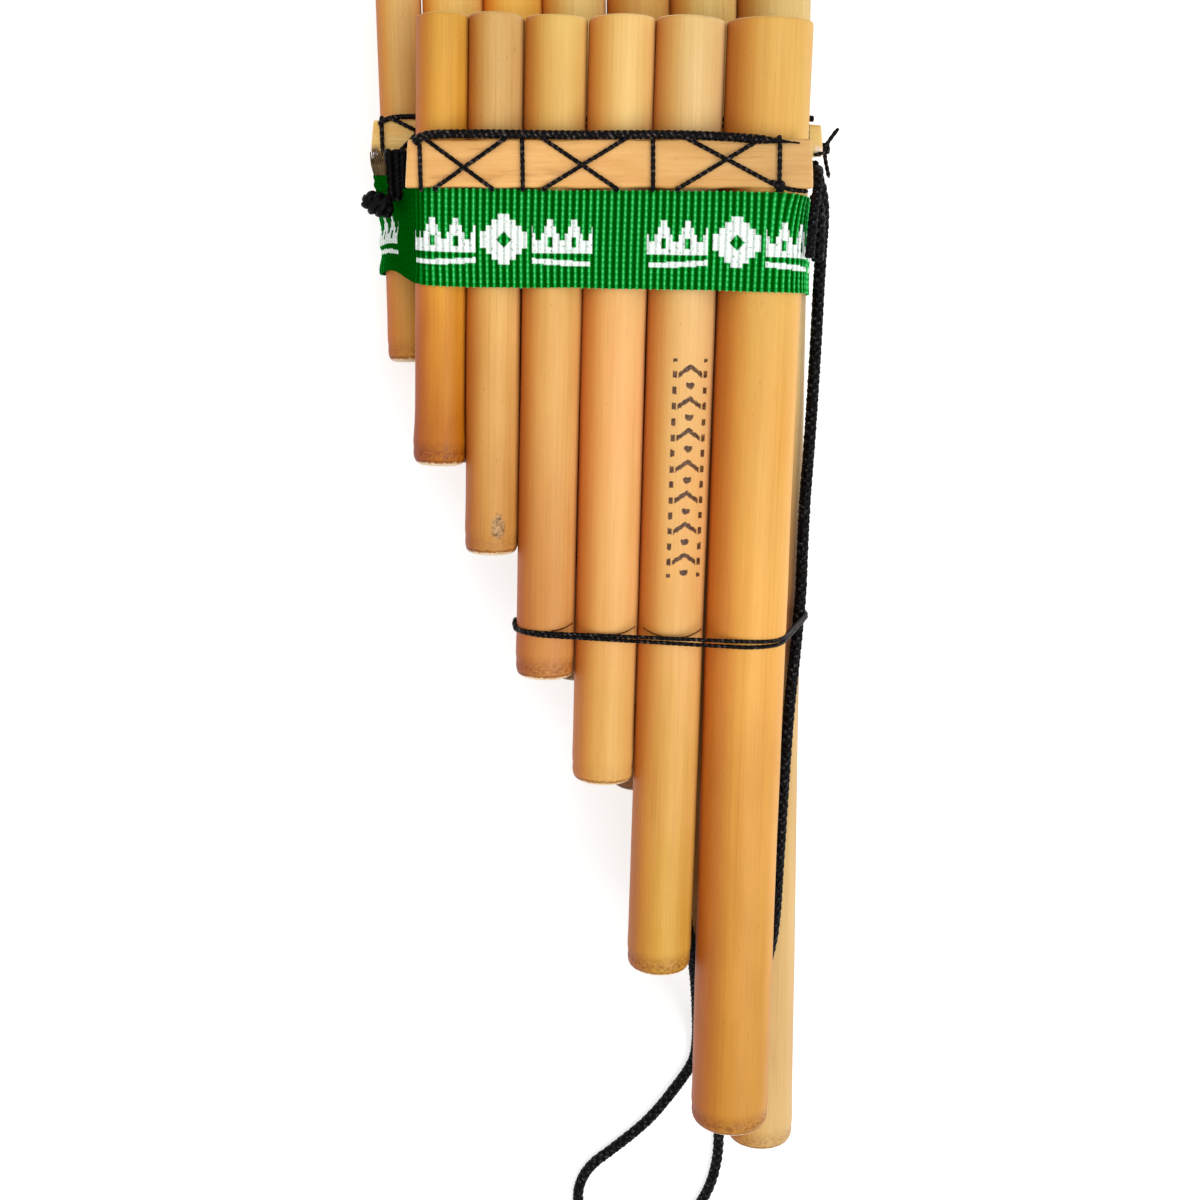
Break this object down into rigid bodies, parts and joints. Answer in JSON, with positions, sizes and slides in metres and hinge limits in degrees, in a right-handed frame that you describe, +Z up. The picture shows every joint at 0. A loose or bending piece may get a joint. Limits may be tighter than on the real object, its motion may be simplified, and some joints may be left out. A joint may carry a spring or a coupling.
{
  "type": "double-rank pan flute",
  "caption": "Double-rank cane pan flute, stepped pipes lashed between slats, bound with a green woven ribbon, with a black neck cord.",
  "frame": {"origin": "centre of the bottom of the instrument's box, on the surface that it lies on, without the neck cord", "axes": "+X across the pipes, from the shortest to the longest; +Y along the pipes, towards the mouths; +Z up, out of the front rank, the one the player faces"},
  "size_m": [0.1089, 0.3272, 0.0527],
  "materials": {
    "ira_pipe_1": "natural polished cane",
    "ira_pipe_2": "natural polished cane",
    "ira_pipe_3": "natural polished cane",
    "ira_pipe_4": "natural polished cane",
    "ira_pipe_5": "natural polished cane",
    "ira_pipe_6": "natural polished cane",
    "arca_pipe_1": "natural polished cane",
    "arca_pipe_2": "natural polished cane",
    "arca_pipe_3": "natural polished cane",
    "arca_pipe_4": "natural polished cane",
    "arca_pipe_5": "natural polished cane",
    "arca_pipe_6": "natural polished cane",
    "arca_pipe_7": "natural polished cane",
    "cane_strip": "split cane, matt",
    "black_thread": "waxed thread",
    "black_cord": "braided cord",
    "green_ribbon": "grosgrain weave"
  },
  "bodies": {
    "root": {"ira_pipe_1": "ira_pipe_1", "ira_pipe_2": "ira_pipe_2", "ira_pipe_3": "ira_pipe_3", "ira_pipe_4": "ira_pipe_4", "ira_pipe_5": "ira_pipe_5", "ira_pipe_6": "ira_pipe_6", "arca_pipe_1": "arca_pipe_1", "arca_pipe_2": "arca_pipe_2", "arca_pipe_3": "arca_pipe_3", "arca_pipe_4": "arca_pipe_4", "arca_pipe_5": "arca_pipe_5", "arca_pipe_6": "arca_pipe_6", "arca_pipe_7": "arca_pipe_7", "ira_front_slat": "cane_strip", "ira_back_slat": "cane_strip", "arca_front_slat": "cane_strip", "arca_back_slat": "cane_strip", "ira_front_lashing": "black_thread", "ira_back_lashing": "black_thread", "arca_front_lashing": "black_thread", "arca_back_lashing": "black_thread", "ira_binding": "black_thread", "arca_binding": "black_thread", "lower_tie": "black_thread", "lashing_tails": "black_thread", "left_hitch": "black_cord", "right_hitch": "black_cord", "left_knot": "black_cord", "neck_cord_tail": "black_cord", "neck_cord": "black_cord", "ribbon": "green_ribbon", "ribbon_tail": "green_ribbon"}
  },
  "joints": []
}
